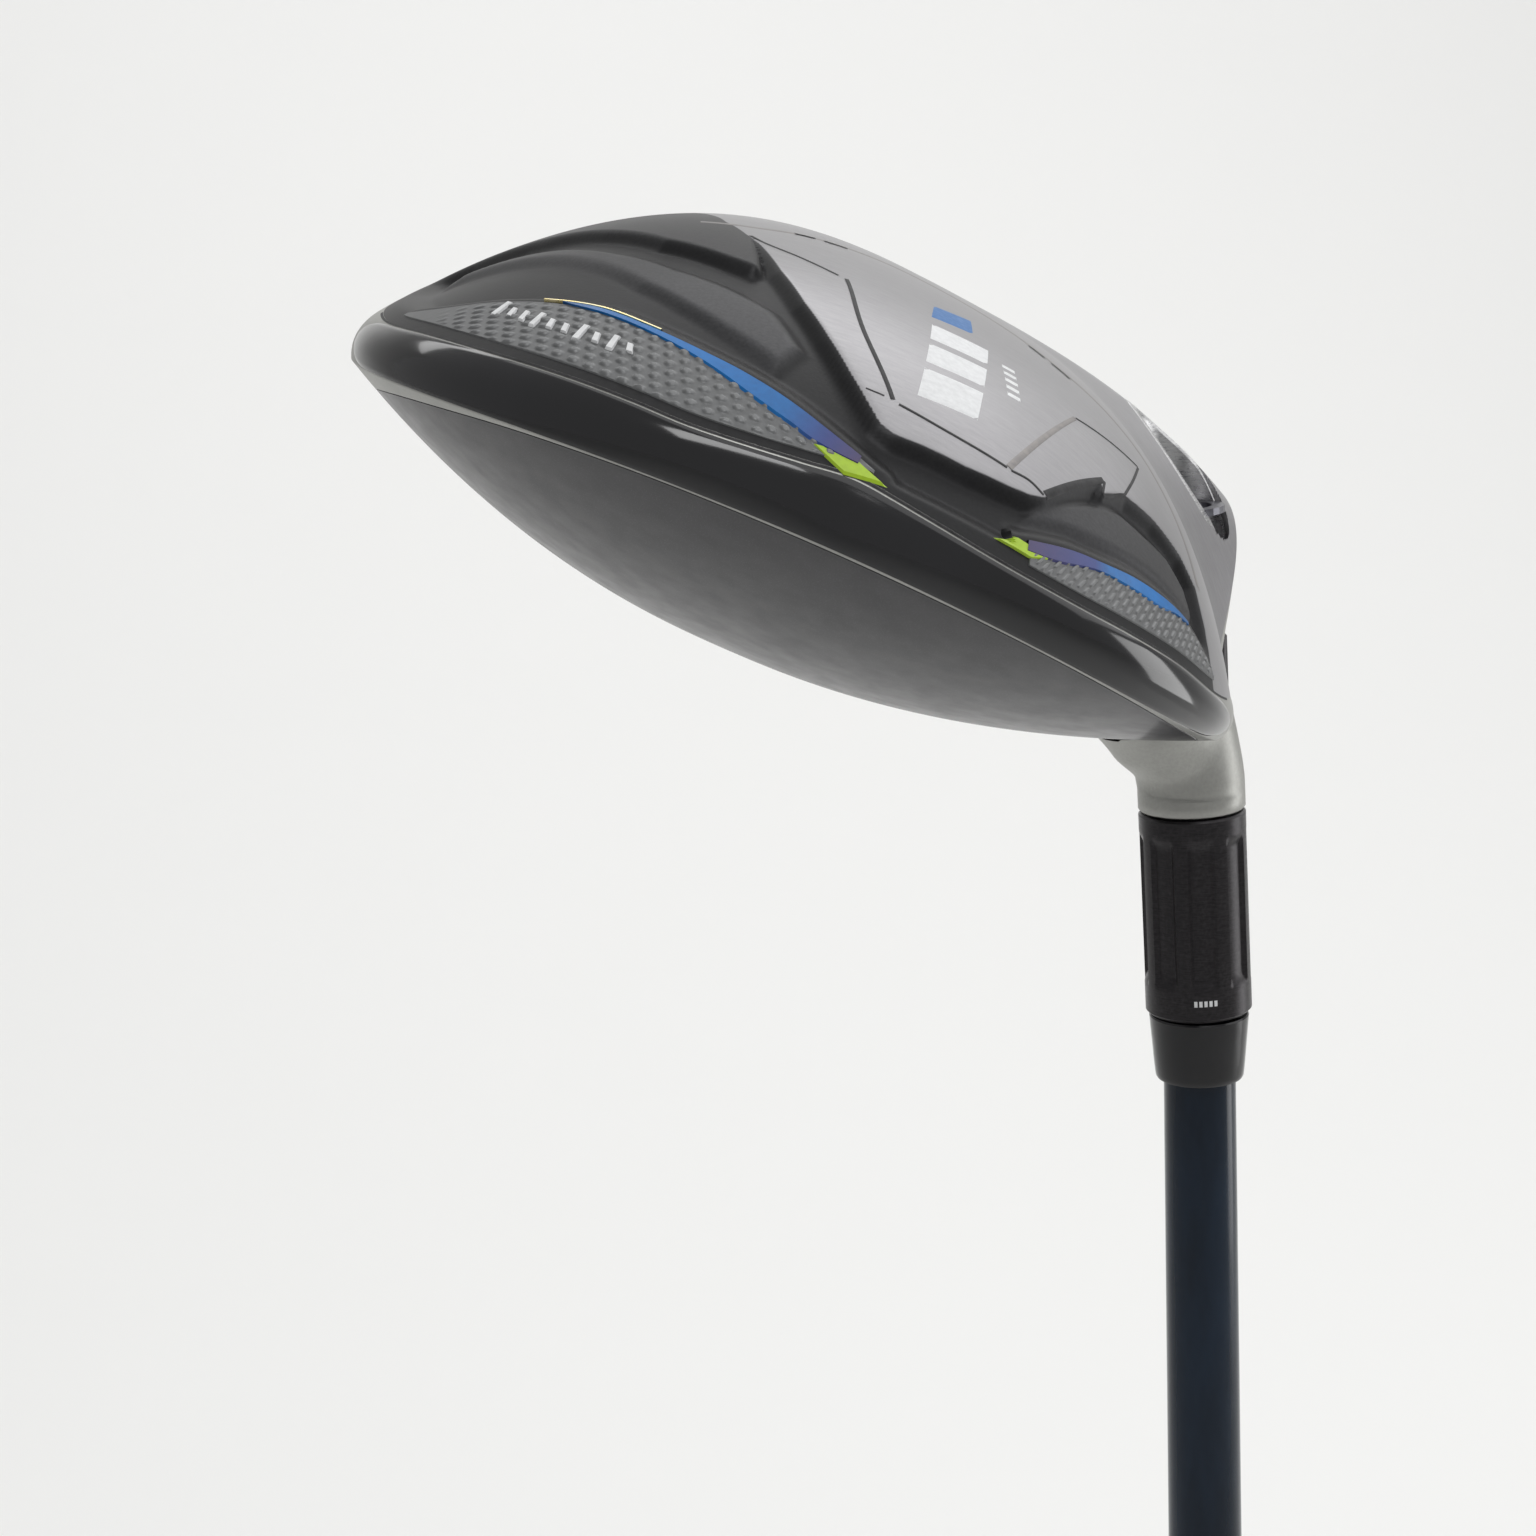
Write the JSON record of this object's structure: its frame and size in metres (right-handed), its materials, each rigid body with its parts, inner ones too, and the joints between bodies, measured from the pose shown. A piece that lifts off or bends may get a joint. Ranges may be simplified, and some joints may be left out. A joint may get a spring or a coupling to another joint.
{
  "type": "adjustable fairway wood",
  "caption": "Right-handed golf fairway wood with a hollow head, composite crown, screw-held loft sleeve, graphite shaft and rubber grip.",
  "frame": {"origin": "centre of the grip's butt end, on the shaft's axis", "axes": "+Z along the shaft from the butt to the head, +Y the way the face looks, -X towards the toe"},
  "size_m": [0.1055, 0.0836, 1.1272],
  "materials": {
    "grip_rubber": "matte textured",
    "cap_plastic": "matte",
    "tape": "matte",
    "shaft_paint": "gloss",
    "ferrule_plastic": "satin",
    "sleeve_anodised": "satin anodised",
    "steel": "satin",
    "washer_steel": "bright",
    "spring_steel": "dark",
    "head_metal": "satin",
    "face_metal": "brushed",
    "crown_composite": "satin",
    "slot_polymer": "matte",
    "badge": "dimpled satin",
    "keel_metal": "satin"
  },
  "bodies": {
    "shaft_assembly": {"grip": "grip_rubber", "grip_end_cap": "cap_plastic", "grip_tape": "tape", "shaft": "shaft_paint", "ferrule": "ferrule_plastic", "loft_sleeve": "sleeve_anodised"},
    "ring": {"retaining_ring": "spring_steel"},
    "head": {"head_body": "head_metal", "face_plate": "face_metal", "crown_shell": "crown_composite", "slot_insert": "slot_polymer", "toe_badge": "badge", "heel_badge": "badge", "keel_plate": "keel_metal"},
    "washer": {"screw_washer": "washer_steel"},
    "screw": {"hosel_screw": "steel"}
  },
  "joints": [
    {"name": "head_pull_off", "type": "slide", "parent": "shaft_assembly", "child": "ring", "axis": [-0.0227, 0, 0.9997], "range_m": [0, 0.024]},
    {"name": "head_index", "type": "hinge", "parent": "ring", "child": "head", "pos_m": [0, 0, 1.02712], "axis": [-0.0227, 0, 0.9997], "continuous": true},
    {"name": "screw_back_out", "type": "slide", "parent": "head", "child": "washer", "axis": [-0.0227, 0, 0.9997], "range_m": [0, 0.0064]},
    {"name": "screw_turn", "type": "hinge", "parent": "washer", "child": "screw", "pos_m": [0, 0, 1.02712], "axis": [-0.0227, 0, 0.9997], "range_deg": [0, 2881]}
  ],
  "couplings": [
    {"joint": "screw_turn", "follows": "screw_back_out", "rad_per_m": 7854}
  ]
}
